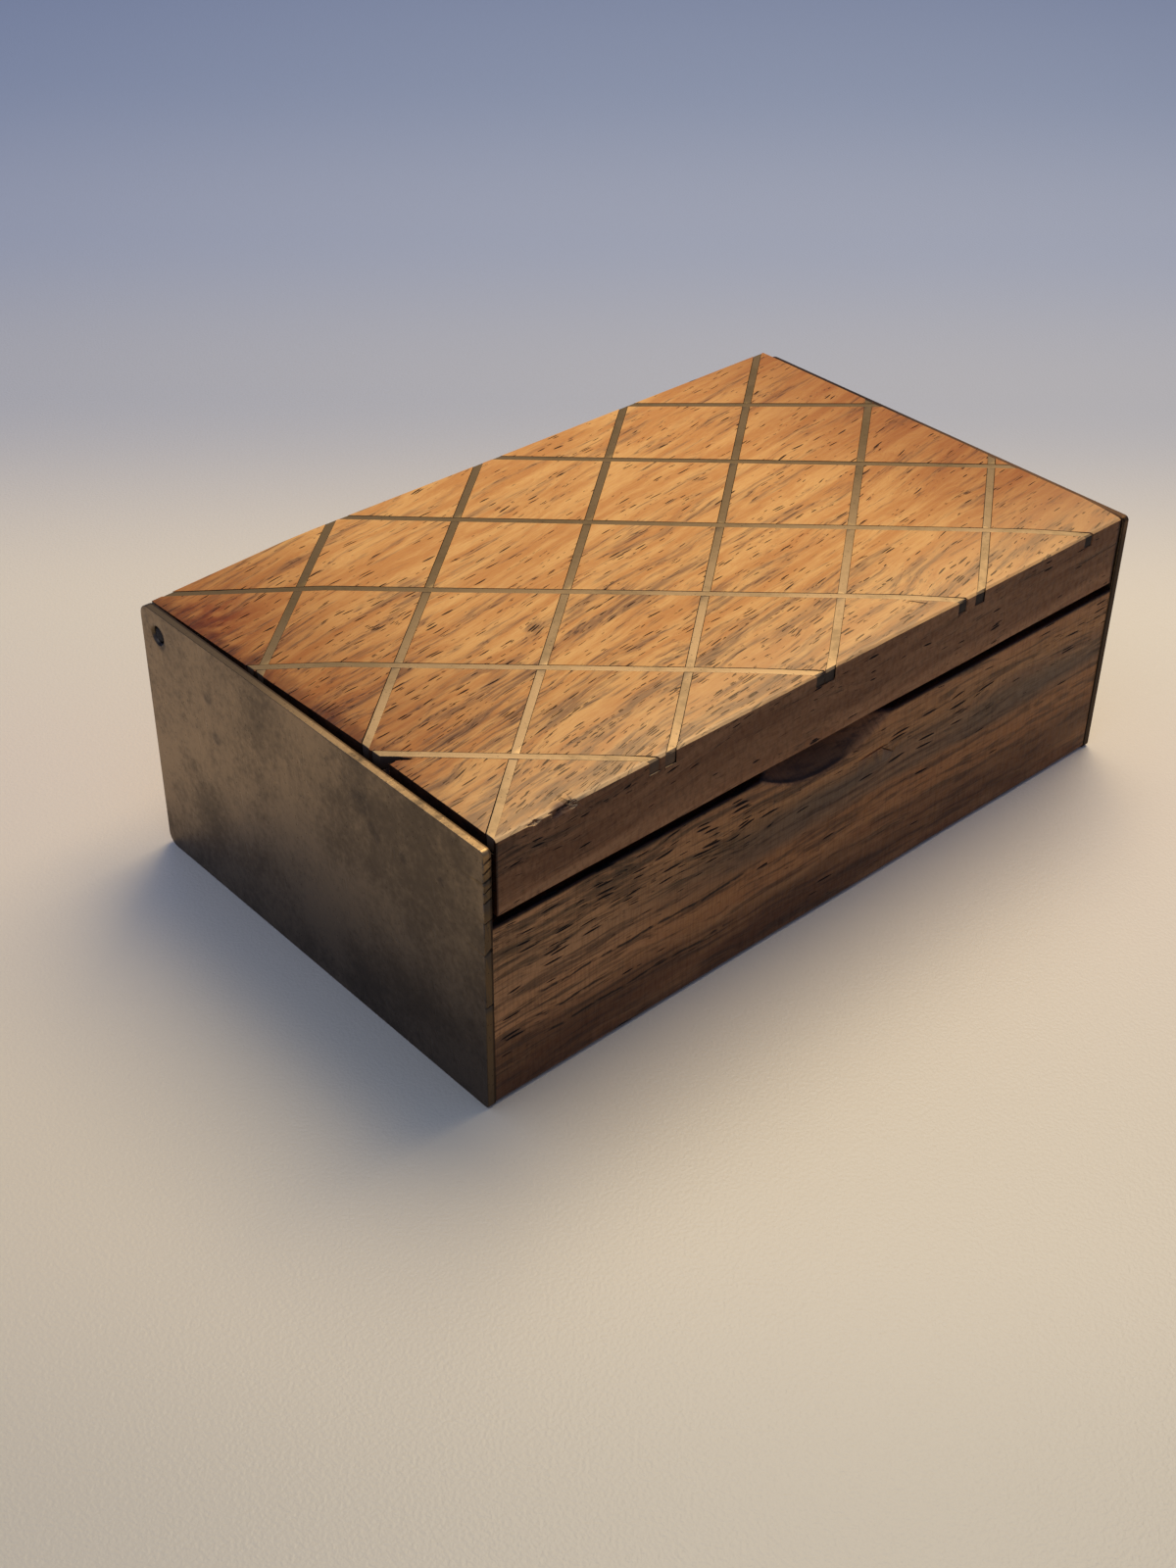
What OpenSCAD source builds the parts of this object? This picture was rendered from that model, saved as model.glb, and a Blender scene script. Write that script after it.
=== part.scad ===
// Small wooden puzzle box with brass end plates, a pin-hinged lid and a hidden tilt lock.
// X runs along the box, Y from the front (-) to the back (+), and Z is up.
// The origin lies on the table under the middle of the box. All sizes are in millimetres.

/* [Box] */
// Length over the two brass end plates
box_len = 100; // [85:1:130]
// Depth from the front face to the back face
box_w = 60; // [52:1:80]
// Height of the brass end plates
plate_h = 33.5; // [30:0.5:45]
// How far the lid's top stands above the end plates
lid_proud = 0.7; // [0.2:0.1:2]
// Thickness of the lid
lid_t = 9.3; // [8:0.1:11]
// Open seam between the closed lid and the block
seam = 1.2; // [1:0.1:2]
// Gap between each end of the lid and the end plate beside it
lid_end_gap = 0.5; // [0.3:0.1:1]

/* [Block] */
// Thickness of the front wall, which holds the lock
front_wall = 8; // [7.5:0.1:12]
// Thickness of the back wall
back_wall = 6; // [4:0.1:10]
// Thickness of the wooden wall at each end
end_wall = 5.5; // [4:0.1:10]
// Thickness of the floor
floor_t = 5; // [3:0.1:8]
// Radius of the upright corners of the hollow
hollow_r = 4; // [2:0.1:8]
// Bevel along the lower front and back edges of the block
block_bevel = 0.5; // [0.2:0.1:1]

/* [Brass end plates] */
// Thickness of the sheet brass
plate_t = 1.1; // [0.8:0.1:2]
// Radius of the two rear corners of a plate
plate_rear_r = 1.5; // [0.5:0.1:3]
// Radius of the two front corners of a plate
plate_front_r = 0.6; // [0.3:0.1:2]
// Radius of the dowels behind a plate
dowel_r = 0.75; // [0.5:0.05:1]
// Distance between the two lower dowels
dowel_span = 40; // [30:1:46]
// Height of the two lower dowels above the table
dowel_low_z = 7; // [5:0.5:9]
// Height of the upper dowel above the table
dowel_high_z = 15; // [12:0.5:17]
// Wood left between a dowel hole and the hollow
dowel_skin = 1; // [0.6:0.1:2]
// Gap round a dowel and at its end, filled with glue
dowel_gap = 0.05; // [0.02:0.01:0.1]

/* [Hinge] */
// Distance of the hinge line from the back face
hinge_inset = 3.2; // [2.8:0.1:4]
// Distance of the hinge line below the top of the plates
hinge_drop = 2.95; // [2.6:0.05:3.5]
// Radius of a pivot pin
pin_r = 0.9; // [0.7:0.05:1.1]
// Running clearance round a pivot pin in its plate
pin_running = 0.05; // [0.02:0.01:0.1]
// Gap round a pivot pin where it is glued into the lid
pin_glue = 0.01; // [0.01:0.01:0.03]
// Length of a pivot pin inside the lid
pin_embed = 9; // [6:0.5:12]
// How far the end of a pivot pin lies below the outside of its plate
pin_recess = 0.25; // [0.1:0.05:0.5]
// Width of the countersink round a pivot pin, beyond its hole
pin_sink = 0.35; // [0.1:0.05:0.5]
// Bevel along the lower back edge of the lid, which swings past the block
lid_rear_bevel = 0.6; // [0.4:0.1:1]
// Bevel along the upper front and back edges of the lid
lid_top_bevel = 0.25; // [0.1:0.05:0.5]

/* [Worn corner of the lid] */
// How far the rear left corner of the lid is worn down
wear_drop = 1.2; // [0.5:0.1:1.3]
// Length of the wear along the back edge
wear_along = 22; // [15:1:30]
// Length of the wear along the left edge
wear_across = 38; // [20:1:45]

/* [Lattice] */
// Width of a brass strip
strip_w = 0.96; // [0.8:0.02:1.2]
// Depth of a brass strip below the lid's top
strip_depth = 1.8; // [1.6:0.1:2.2]
// Glue gap on each side of a strip in its saw cut
strip_glue = 0.02; // [0.01:0.01:0.05]
// Depth of the saw cuts, deeper than the strips in them
cut_depth = 2.7; // [2.3:0.1:2.8]
// Diamonds along the lid
cells_along = 4; // [4]
// Diamonds across the lid
cells_across = 3; // [3]

/* [Thumb notch] */
// Width of the notch along the front edge of the block
notch_w = 21.5; // [16:0.5:26]
// Depth of the notch below the top of the block
notch_d = 3.8; // [3:0.1:4.5]
// Slope of the bottom of the notch, rising into the wall
notch_slope = 40; // [35:1:50]
// Place of the middle of the notch along the box
notch_x = -1.3; // [-4:0.1:6]

/* [Tilt lock] */
// Radius of the loose lock pin
lock_r = 0.8; // [0.6:0.05:0.9]
// Length of the lock pin
lock_len = 14; // [12:0.5:15]
// Running clearance round the lock pin
lock_running = 0.05; // [0.03:0.01:0.1]
// End play between the resting lock pin and the left plate
lock_play = 0.2; // [0.1:0.05:0.5]
// How far the lock pin reaches past the mortise when locked
lock_seat = 2.6; // [1.5:0.1:4]
// Distance of the lock pin from the front face of the block
lock_inset = 5.3; // [5.2:0.05:5.6]
// Distance of the lock pin below the top of the block
lock_drop = 2.7; // [2.2:0.1:3.5]
// Distance of the lid catch to the left of the middle of the box
catch_left = 28; // [26:0.5:30]
// Thickness of the lid catch, cut from the same sheet as the plates
catch_t = 1; // [0.8:0.1:1.5]
// Width of the upright stem of the catch, in front of the lock pin
catch_stem = 1.2; // [0.8:0.1:1.4]
// Height of the foot of the catch, below the lock pin
catch_foot = 1.3; // [1:0.1:2]
// Depth of the catch inside the lid
catch_embed = 4; // [2.5:0.1:4.5]
// Gap above and below the lock pin in the catch
catch_gap = 0.3; // [0.2:0.05:0.5]
// Gap beside the catch in its mortise
mortise_gap = 0.7; // [0.4:0.1:1]
// Gap behind the catch, and before it at the end of its swing
mortise_swing_gap = 0.3; // [0.2:0.05:0.4]

/* [Hidden] */
$fn = 64;
over = 1;                                   // how far a cut runs past the face it opens

block_len = box_len - 2 * plate_t;
lid_len = block_len - 2 * lid_end_gap;
lid_top = plate_h + lid_proud;
lid_low = lid_top - lid_t;
block_top = lid_low - seam;
front_y = -box_w / 2;
back_y = box_w / 2;
hinge_y = back_y - hinge_inset;
hinge_z = plate_h - hinge_drop;

// Lattice: lines through the centres of the diamonds, six each way, numbered from the left.
// A box made by hand strays from the even layout, by these amounts for each strip.
lines = cells_along + cells_across - 1;
pitch = lid_len / cells_along;
even_angle = atan((box_w / cells_across) / pitch);
rising_stray = [1.5, -0.8, -1.2, -1.1, -1, 1];          // along X, on the lid's long middle line
rising_lean = [0.7, 0.4, 0, -0.2, -0.9, -2];            // degrees steeper than the even angle
falling_stray = [-0.1, -0.2, -1.3, -2.1, -2.6, -1.7];
falling_lean = [2.8, 2.7, 2.7, 3.3, 3, 0.8];
strip_reach = box_len + box_w;              // longer than any line across the lid

// Thumb notch: a round bottomed groove that slopes up into the wall.
notch_sag = notch_d * cos(notch_slope);
notch_r = (notch_sag * notch_sag + notch_w * notch_w / 4) / (2 * notch_sag);

// Tilt lock
dowel_len = end_wall - dowel_skin - dowel_gap;
lock_y = front_y + lock_inset;
lock_z = block_top - lock_drop;
lock_hole_r = lock_r + lock_running;
catch_x = -catch_left;
catch_side = lock_r + catch_gap / 2;        // from the lock pin's line to the stem, or to the back
catch_front = lock_y - catch_side - catch_stem;
catch_back = lock_y + catch_side;
foot_top = lock_z - lock_r - catch_gap;
foot_low = foot_top - catch_foot;
// The foot swings forward by this much while it rises out of its mortise.
catch_swing = (hinge_z - foot_low) * (block_top - foot_low) / (hinge_y - catch_front);
mortise_front = catch_front - catch_swing - mortise_swing_gap;
mortise_back = catch_back + mortise_swing_gap;
mortise_half = catch_t / 2 + mortise_gap;
lock_bore_end = catch_x + mortise_half + lock_seat;

// Extrudes a shape drawn in Y and Z along X, centred on the middle of the box.
module along_x(length) {
    translate([-length / 2, 0, 0]) rotate([90, 0, 90]) linear_extrude(length) children();
}

// A round bar along X from x_low to x_high.
module bar_x(x_low, x_high, y, z, r) {
    translate([x_low, y, z]) rotate([0, 90, 0]) cylinder(h = x_high - x_low, r = r);
}

module block_profile() {
    b = block_bevel;
    polygon([[front_y + b, 0], [back_y - b, 0], [back_y, b], [back_y, block_top],
             [front_y, block_top], [front_y, b]]);
}

// The hollow of the box, with round upright corners.
module hollow() {
    x_half = block_len / 2 - end_wall;
    y_low = front_y + front_wall;
    y_high = back_y - back_wall;
    depth = block_top - floor_t + over;
    translate([-x_half + hollow_r, y_low, floor_t])
        cube([2 * (x_half - hollow_r), y_high - y_low, depth]);
    translate([-x_half, y_low + hollow_r, floor_t])
        cube([2 * x_half, y_high - y_low - 2 * hollow_r, depth]);
    for (x = [-x_half + hollow_r, x_half - hollow_r], y = [y_low + hollow_r, y_high - hollow_r])
        translate([x, y, floor_t]) cylinder(h = depth, r = hollow_r);
}

module thumb_notch() {
    translate([notch_x, front_y, block_top - notch_d + notch_r / cos(notch_slope)])
        rotate([notch_slope - 90, 0, 0])
            cylinder(h = 2 * notch_r, r = notch_r, center = true);
}

module catch_mortise() {
    translate([catch_x - mortise_half, mortise_front, foot_low])
        cube([2 * mortise_half, mortise_back - mortise_front, block_top - foot_low + over]);
}

// Dowels behind one plate, or their holes with the gap. side is -1 for the left and 1 for the right.
module dowels(side, gap) {
    inner = side * block_len / 2;
    tip = inner - side * (dowel_len + gap);
    for (place = [[-dowel_span / 2, dowel_low_z], [dowel_span / 2, dowel_low_z], [0, dowel_high_z]])
        bar_x(min(inner, tip), max(inner, tip), place[0], place[1], dowel_r + gap);
}

module wood_block() {
    color("saddlebrown") difference() {
        along_x(block_len) block_profile();
        hollow();
        thumb_notch();
        catch_mortise();
        bar_x(-block_len / 2 - over, lock_bore_end, lock_y, lock_z, lock_hole_r);
        dowels(-1, dowel_gap);
        dowels(1, dowel_gap);
    }
}

module lid_profile() {
    t = lid_top_bevel;
    b = lid_rear_bevel;
    polygon([[front_y, lid_low], [back_y - b, lid_low], [back_y, lid_low + b],
             [back_y, lid_top - t], [back_y - t, lid_top], [front_y + t, lid_top],
             [front_y, lid_top - t]]);
}

// Everything above the worn plane at the rear left corner of the lid.
module worn_away() {
    tilt_y = atan(wear_drop / wear_along);
    tilt_x = atan(wear_drop / wear_across * cos(tilt_y));
    size = box_len + box_w;
    translate([-lid_len / 2, back_y, lid_top - wear_drop])
        rotate([-tilt_x, -tilt_y, 0])
            translate([-size / 2, -size / 2, 0]) cube([size, size, lid_t]);
}

// The lid without its cuts: every strip is trimmed to this shape, so it ends flush with the wood.
module lid_blank() {
    difference() {
        along_x(lid_len) lid_profile();
        worn_away();
    }
}

// A straight bar along line i of one family, width w, from the lid's top down to depth.
module line_bar(x, angle, w, depth) {
    translate([x, 0, lid_top - depth]) rotate([0, 0, angle])
        translate([-strip_reach / 2, -w / 2, 0]) cube([strip_reach, w, depth + over]);
}

function line_x(i) = (i - (lines + 1) / 2) * pitch;

module rising_bar(i, w, depth) {
    line_bar(line_x(i) + rising_stray[i - 1], even_angle + rising_lean[i - 1], w, depth);
}

module falling_bar(i, w, depth) {
    line_bar(line_x(i) + falling_stray[i - 1], -even_angle - falling_lean[i - 1], w, depth);
}

module all_cuts(depth) {
    for (i = [1 : lines]) {
        rising_bar(i, strip_w + 2 * strip_glue, depth);
        falling_bar(i, strip_w + 2 * strip_glue, depth);
    }
}

// The falling strips were let in last, so they run right through.
module falling_strip(i) {
    color("darkkhaki") intersection() {
        lid_blank();
        falling_bar(i, strip_w, strip_depth);
    }
}

// The rising strips were let in first, so the later saw cuts part them at each crossing.
module rising_strip(i) {
    color("darkkhaki") intersection() {
        lid_blank();
        difference() {
            rising_bar(i, strip_w, strip_depth);
            for (j = [1 : lines]) falling_bar(j, strip_w + 2 * strip_glue, cut_depth);
        }
    }
}

// The catch in Y and Z: a hook that is open to the back, or its slot in the lid.
module catch_hook() {
    inner = catch_front + catch_stem;
    high = lid_low + catch_embed;
    over_pin = lock_z + lock_r + catch_gap;
    polygon([[catch_front, foot_low], [catch_back, foot_low], [catch_back, foot_top],
             [inner, foot_top], [inner, over_pin], [catch_back, over_pin],
             [catch_back, high], [catch_front, high]]);
}

module catch_slot() {
    translate([catch_x - catch_t / 2 - strip_glue, catch_front - strip_glue, lid_low - over])
        cube([catch_t + 2 * strip_glue, catch_back - catch_front + 2 * strip_glue,
              catch_embed + strip_glue + over]);
}

module lid_board() {
    hole_end = lid_len / 2 - pin_embed - pin_glue;
    color("peru") difference() {
        lid_blank();
        all_cuts(cut_depth);
        catch_slot();
        bar_x(-lid_len / 2 - over, -hole_end, hinge_y, hinge_z, pin_r + pin_glue);
        bar_x(hole_end, lid_len / 2 + over, hinge_y, hinge_z, pin_r + pin_glue);
    }
}

// What a corner of radius r loses, drawn at the origin for the corner towards -Y and -Z.
module corner_cut(r) {
    difference() {
        translate([-over, -over]) square(r + over);
        translate([r, r]) circle(r);
    }
}

module plate_outline() {
    difference() {
        translate([front_y, 0]) square([box_w, plate_h]);
        translate([front_y, 0]) corner_cut(plate_front_r);
        translate([front_y, plate_h]) mirror([0, 1]) corner_cut(plate_front_r);
        translate([back_y, 0]) mirror([1, 0]) corner_cut(plate_rear_r);
        translate([back_y, plate_h]) rotate(180) corner_cut(plate_rear_r);
    }
}

// The left plate. The right one is its mirror image.
module end_plate() {
    hole_r = pin_r + pin_running;
    out = -box_len / 2;
    color("tan") difference() {
        translate([(plate_t - box_len) / 2, 0, 0]) along_x(plate_t) plate_outline();
        bar_x(out - over, out + plate_t + over, hinge_y, hinge_z, hole_r);
        translate([out, hinge_y, hinge_z]) rotate([0, 90, 0])
            cylinder(h = pin_sink, r1 = hole_r + pin_sink, r2 = hole_r);
    }
}

module pivot_pin() {
    color("dimgray")
        bar_x(-box_len / 2 + pin_recess, -lid_len / 2 + pin_embed, hinge_y, hinge_z, pin_r);
}

module plate_dowels(side) {
    color("goldenrod") dowels(side, 0);
}

module lid_catch() {
    color("goldenrod") translate([catch_x, 0, 0]) along_x(catch_t) catch_hook();
}

module lock_pin() {
    low = -block_len / 2 + lock_play;
    color("silver") bar_x(low, low + lock_len, lock_y, lock_z, lock_r);
}

wood_block();
lid_board();
end_plate();  // left_end_plate
mirror([1, 0, 0]) end_plate();  // right_end_plate
plate_dowels(-1);  // left_plate_dowels
plate_dowels(1);  // right_plate_dowels
pivot_pin();  // left_pivot_pin
mirror([1, 0, 0]) pivot_pin();  // right_pivot_pin
lid_catch();
lock_pin();
rising_strip(1);  // rising_strip_1
rising_strip(2);  // rising_strip_2
rising_strip(3);  // rising_strip_3
rising_strip(4);  // rising_strip_4
rising_strip(5);  // rising_strip_5
rising_strip(6);  // rising_strip_6
falling_strip(1);  // falling_strip_1
falling_strip(2);  // falling_strip_2
falling_strip(3);  // falling_strip_3
falling_strip(4);  // falling_strip_4
falling_strip(5);  // falling_strip_5
falling_strip(6);  // falling_strip_6
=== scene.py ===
"""Looks of the small wooden puzzle box: worn hardwood, tarnished brass and a plain studio.

Every visible piece is dressed from its CAD node: the edges are eased, the hand-made surfaces
waver a little, and chips and nicks are cut in. Lengths are in millimetres, and MM turns them
into metres. Only the lamps are placed and sized in metres.
"""
import math

import bmesh
import bpy
from mathutils import Euler, Matrix, Vector, noise


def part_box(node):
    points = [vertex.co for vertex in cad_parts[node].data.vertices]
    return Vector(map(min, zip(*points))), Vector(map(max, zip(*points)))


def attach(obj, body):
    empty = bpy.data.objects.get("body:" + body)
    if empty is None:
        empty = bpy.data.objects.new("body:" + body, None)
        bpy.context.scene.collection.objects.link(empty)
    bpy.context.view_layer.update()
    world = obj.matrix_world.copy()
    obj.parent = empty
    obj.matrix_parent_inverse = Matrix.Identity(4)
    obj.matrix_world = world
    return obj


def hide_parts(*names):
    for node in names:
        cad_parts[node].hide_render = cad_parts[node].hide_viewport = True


MM = 0.001
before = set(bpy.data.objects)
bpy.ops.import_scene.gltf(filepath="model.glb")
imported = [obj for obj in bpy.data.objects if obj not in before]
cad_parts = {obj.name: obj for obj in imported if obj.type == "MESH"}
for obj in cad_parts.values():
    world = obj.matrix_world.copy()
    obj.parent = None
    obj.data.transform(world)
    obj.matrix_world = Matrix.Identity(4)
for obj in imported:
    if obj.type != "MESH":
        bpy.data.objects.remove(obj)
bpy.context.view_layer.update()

# ---------------------------------------------------------------- sizes read from the frame


def box_mm(node):
    """Lowest and highest corner of a CAD node at rest, in millimetres."""
    low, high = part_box(node)
    return Vector(low) / MM, Vector(high) / MM


LID_LOW, LID_HIGH = box_mm("lid_board")
BLOCK_LOW, BLOCK_HIGH = box_mm("wood_block")
PLATE_LOW, PLATE_HIGH = box_mm("left_end_plate")
PIN_LOW, PIN_HIGH = box_mm("left_pivot_pin")
HINGE_Y = (PIN_LOW.y + PIN_HIGH.y) / 2
HINGE_Z = (PIN_LOW.z + PIN_HIGH.z) / 2
STRIPS_EACH_WAY = 6
RISING = [f"rising_strip_{i + 1}" for i in range(STRIPS_EACH_WAY)]
FALLING = [f"falling_strip_{i + 1}" for i in range(STRIPS_EACH_WAY)]
STRIP_DEPTH = LID_HIGH.z - box_mm("falling_strip_3")[0].z

# The saw cuts are this much deeper than the strips in them.
SLOT_BELOW_STRIP = 0.9
SLOT_DEPTH = STRIP_DEPTH + SLOT_BELOW_STRIP

# ---------------------------------------------------------------- sizes of what is added here

# Points closer than this are one point, and points this close to a cutting plane lie on it.
WELD = 0.002
ON_PLANE = 0.003

# Faces that bend less than FLAT are one face, edges sharper than SHARP are rounded, and edges
# sharper than CREASE are shaded sharp.
FLAT = math.radians(0.3)
SHARP = math.radians(30)
CREASE = math.radians(35)

# Widths of the rounded edges, and steps in X, Y and Z of the grids that let the faces bend.
LID_EASE = 0.3
LID_GRID = (1.5, 3.0, 2.2)
STRIP_EASE = 0.28
STRIP_GRID = (2.5,)
BLOCK_EASE = 0.35
BLOCK_GRID = (4, 6, 4)
PLATE_EASE = 0.14
PLATE_GRID = (4, 4, 4)

# How far the wear of the lid reaches from its front edge and from its left end.
WORN_FRONT = 6.0
WORN_END = 12.0

# The largest chip in the lid's front edge, painted dark brown in and round it as shade.
CHIP_X = -40.0

# The thumb notch and its painted shade: its middle, and how far it reaches sideways and down.
NOTCH_X = -1.3
NOTCH_REACH = 12.0
NOTCH_DROP = 6.0

# Each side of a strip is drawn in by STRIP_GAP, and at its foot by FOOT_GAP more. Its ends stay
# STRIP_INSET inside the lid's outline.
STRIP_GAP = 0.02
FOOT_GAP = 0.12
STRIP_INSET = 0.1

# Where a saw cut runs out of the lid, its floor is raised over a length of SLOT_MOUTH. A gap of
# UNDER_STRIP is left below the strip.
SLOT_MOUTH = 1.4
UNDER_STRIP = 0.03

# Faces this far in from the block's ends, front, back and foot belong to its hollow.
HOLLOW_ENDS = 5
HOLLOW_FRONT = 7
HOLLOW_BACK = 5
HOLLOW_FOOT = 3


def smooth(t):
    """0 below 0, 1 above 1, and an even slope between."""
    t = min(1.0, max(0.0, t))
    return t * t * (3 - 2 * t)


# ---------------------------------------------------------------- mesh tools


def cad_mesh(node):
    """A bmesh copy of a CAD node in millimetres, with its flat faces whole again."""
    bm = bmesh.new()
    bm.from_mesh(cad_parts[node].data)
    bmesh.ops.scale(bm, vec=(1 / MM,) * 3, verts=bm.verts)
    bmesh.ops.remove_doubles(bm, verts=bm.verts, dist=WELD)
    bmesh.ops.dissolve_limit(bm, angle_limit=FLAT, verts=bm.verts, edges=bm.edges)
    return bm


def slice_mesh(bm, axis, step):
    """Cuts every face along planes across one axis, so that it can be bent."""
    places = [v.co[axis] for v in bm.verts]
    low, high = min(places), max(places)
    count = max(1, round((high - low) / step))
    normal = Vector([float(i == axis) for i in range(3)])
    for k in range(1, count):
        place = normal * (low + (high - low) * k / count)
        geometry = bm.verts[:] + bm.edges[:] + bm.faces[:]
        bmesh.ops.bisect_plane(bm, geom=geometry, dist=ON_PLANE, plane_co=place, plane_no=normal)


def to_object(bm, name):
    """Writes a bmesh to a new object, still in millimetres."""
    mesh = bpy.data.meshes.new(name)
    bm.to_mesh(mesh)
    bm.free()
    obj = bpy.data.objects.new(name, mesh)
    bpy.context.scene.collection.objects.link(obj)
    return obj


def apply_modifiers(obj):
    """Bakes the object's modifiers into its mesh."""
    depsgraph = bpy.context.evaluated_depsgraph_get()
    mesh = bpy.data.meshes.new_from_object(obj.evaluated_get(depsgraph))
    old = obj.data
    obj.modifiers.clear()
    obj.data = mesh
    bpy.data.meshes.remove(old)


def ease_edges(bm, name, width, weight, steps=(), segments=3):
    """Rounds the sharp edges, then cuts the faces into a grid of these steps in X, Y and Z.

    weight(middle) is the share of the width that an edge with this middle gets.
    """
    layer = bm.edges.layers.float.get("bevel_weight_edge")
    layer = layer or bm.edges.layers.float.new("bevel_weight_edge")
    for edge in bm.edges:
        if len(edge.link_faces) == 2 and edge.calc_face_angle(0) > SHARP:
            edge[layer] = weight((edge.verts[0].co + edge.verts[1].co) / 2)
    obj = to_object(bm, name)
    bevel = obj.modifiers.new("ease", "BEVEL")
    bevel.width = width
    bevel.segments = segments
    bevel.limit_method = "WEIGHT"
    apply_modifiers(obj)
    grid = bmesh.new()
    grid.from_mesh(obj.data)
    for axis, step in enumerate(steps):
        slice_mesh(grid, axis, step)
    grid.to_mesh(obj.data)
    grid.free()
    return obj


def move_points(obj, shape):
    """Moves each vertex to where shape(point) says."""
    for vertex in obj.data.vertices:
        vertex.co = shape(vertex.co.copy())


def rough_cutter(name, size, at, turn, seed, roughness=0.45):
    """A small jagged lump for chips, nicks and cracks."""
    bm = bmesh.new()
    bmesh.ops.create_icosphere(bm, subdivisions=4, radius=1)
    for v in bm.verts:
        coarse = noise.noise(v.co * 1.6 + Vector((seed, 0, 0)))
        fine = noise.noise(v.co * 5.5 + Vector((0, seed, 0)))
        v.co *= 1 + roughness * coarse + 0.4 * roughness * fine
    placing = Matrix.Translation(at) @ Euler([math.radians(a) for a in turn]).to_matrix().to_4x4()
    bmesh.ops.transform(bm, matrix=placing @ Matrix.Diagonal((*size, 1)), verts=bm.verts)
    return to_object(bm, name)


def cut(obj, cutters):
    """Takes the cutters away from the object and removes them."""
    for cutter in cutters:
        boolean = obj.modifiers.new("cut", "BOOLEAN")
        boolean.object = cutter
        boolean.operation = "DIFFERENCE"
        boolean.solver = "EXACT"
        boolean.use_self = False
    apply_modifiers(obj)
    for cutter in cutters:
        bpy.data.objects.remove(cutter)


def drop_flaps(bm):
    """Removes what a cut can leave behind: faces back to back, and faces that hang by an edge.

    The gaps that this opens are filled.
    """
    flaps = True
    while flaps:
        alike = {}
        for face in bm.faces:
            alike.setdefault(frozenset(face.verts), []).append(face)
        flaps = {face for faces in alike.values() if len(faces) > 1 for face in faces}
        for edge in bm.edges:
            if len(edge.link_faces) > 2:
                flaps.update(f for f in edge.link_faces if any(e.is_boundary for e in f.edges))
        bmesh.ops.delete(bm, geom=list(flaps), context="FACES")
    open_edges = [edge for edge in bm.edges if edge.is_boundary]
    bmesh.ops.holes_fill(bm, edges=open_edges)


def clear_mesh(mesh):
    """Leaves one closed skin of triangles, without the slivers that cutting makes."""
    bm = bmesh.new()
    bm.from_mesh(mesh)
    bmesh.ops.remove_doubles(bm, verts=bm.verts, dist=WELD)
    bmesh.ops.dissolve_degenerate(bm, dist=WELD, edges=bm.edges)
    bmesh.ops.triangulate(bm, faces=bm.faces)
    drop_flaps(bm)
    bmesh.ops.triangulate(bm, faces=[face for face in bm.faces if len(face.verts) > 3])
    bmesh.ops.recalc_face_normals(bm, faces=bm.faces)
    bm.to_mesh(mesh)
    bm.free()


def finish_piece(obj, body, materials, stands_for):
    """Clears up a piece, scales it to metres, shades it and hangs it on its body."""
    clear_mesh(obj.data)
    obj.data.transform(Matrix.Scale(MM, 4))
    obj.data.materials.clear()
    for material in materials:
        obj.data.materials.append(material)
    obj.data.shade_smooth()
    obj.data.set_sharp_from_angle(angle=CREASE)
    weigh = obj.modifiers.new("weigh", "WEIGHTED_NORMAL")
    weigh.keep_sharp = True
    apply_modifiers(obj)
    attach(obj, body)
    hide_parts(stands_for)
    return obj


def paint_faces(obj, choose):
    """Gives each polygon the material that choose(centre in millimetres, normal) says."""
    for polygon in obj.data.polygons:
        polygon.material_index = choose(polygon.center / MM, polygon.normal)


# ---------------------------------------------------------------- material graphs


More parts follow.
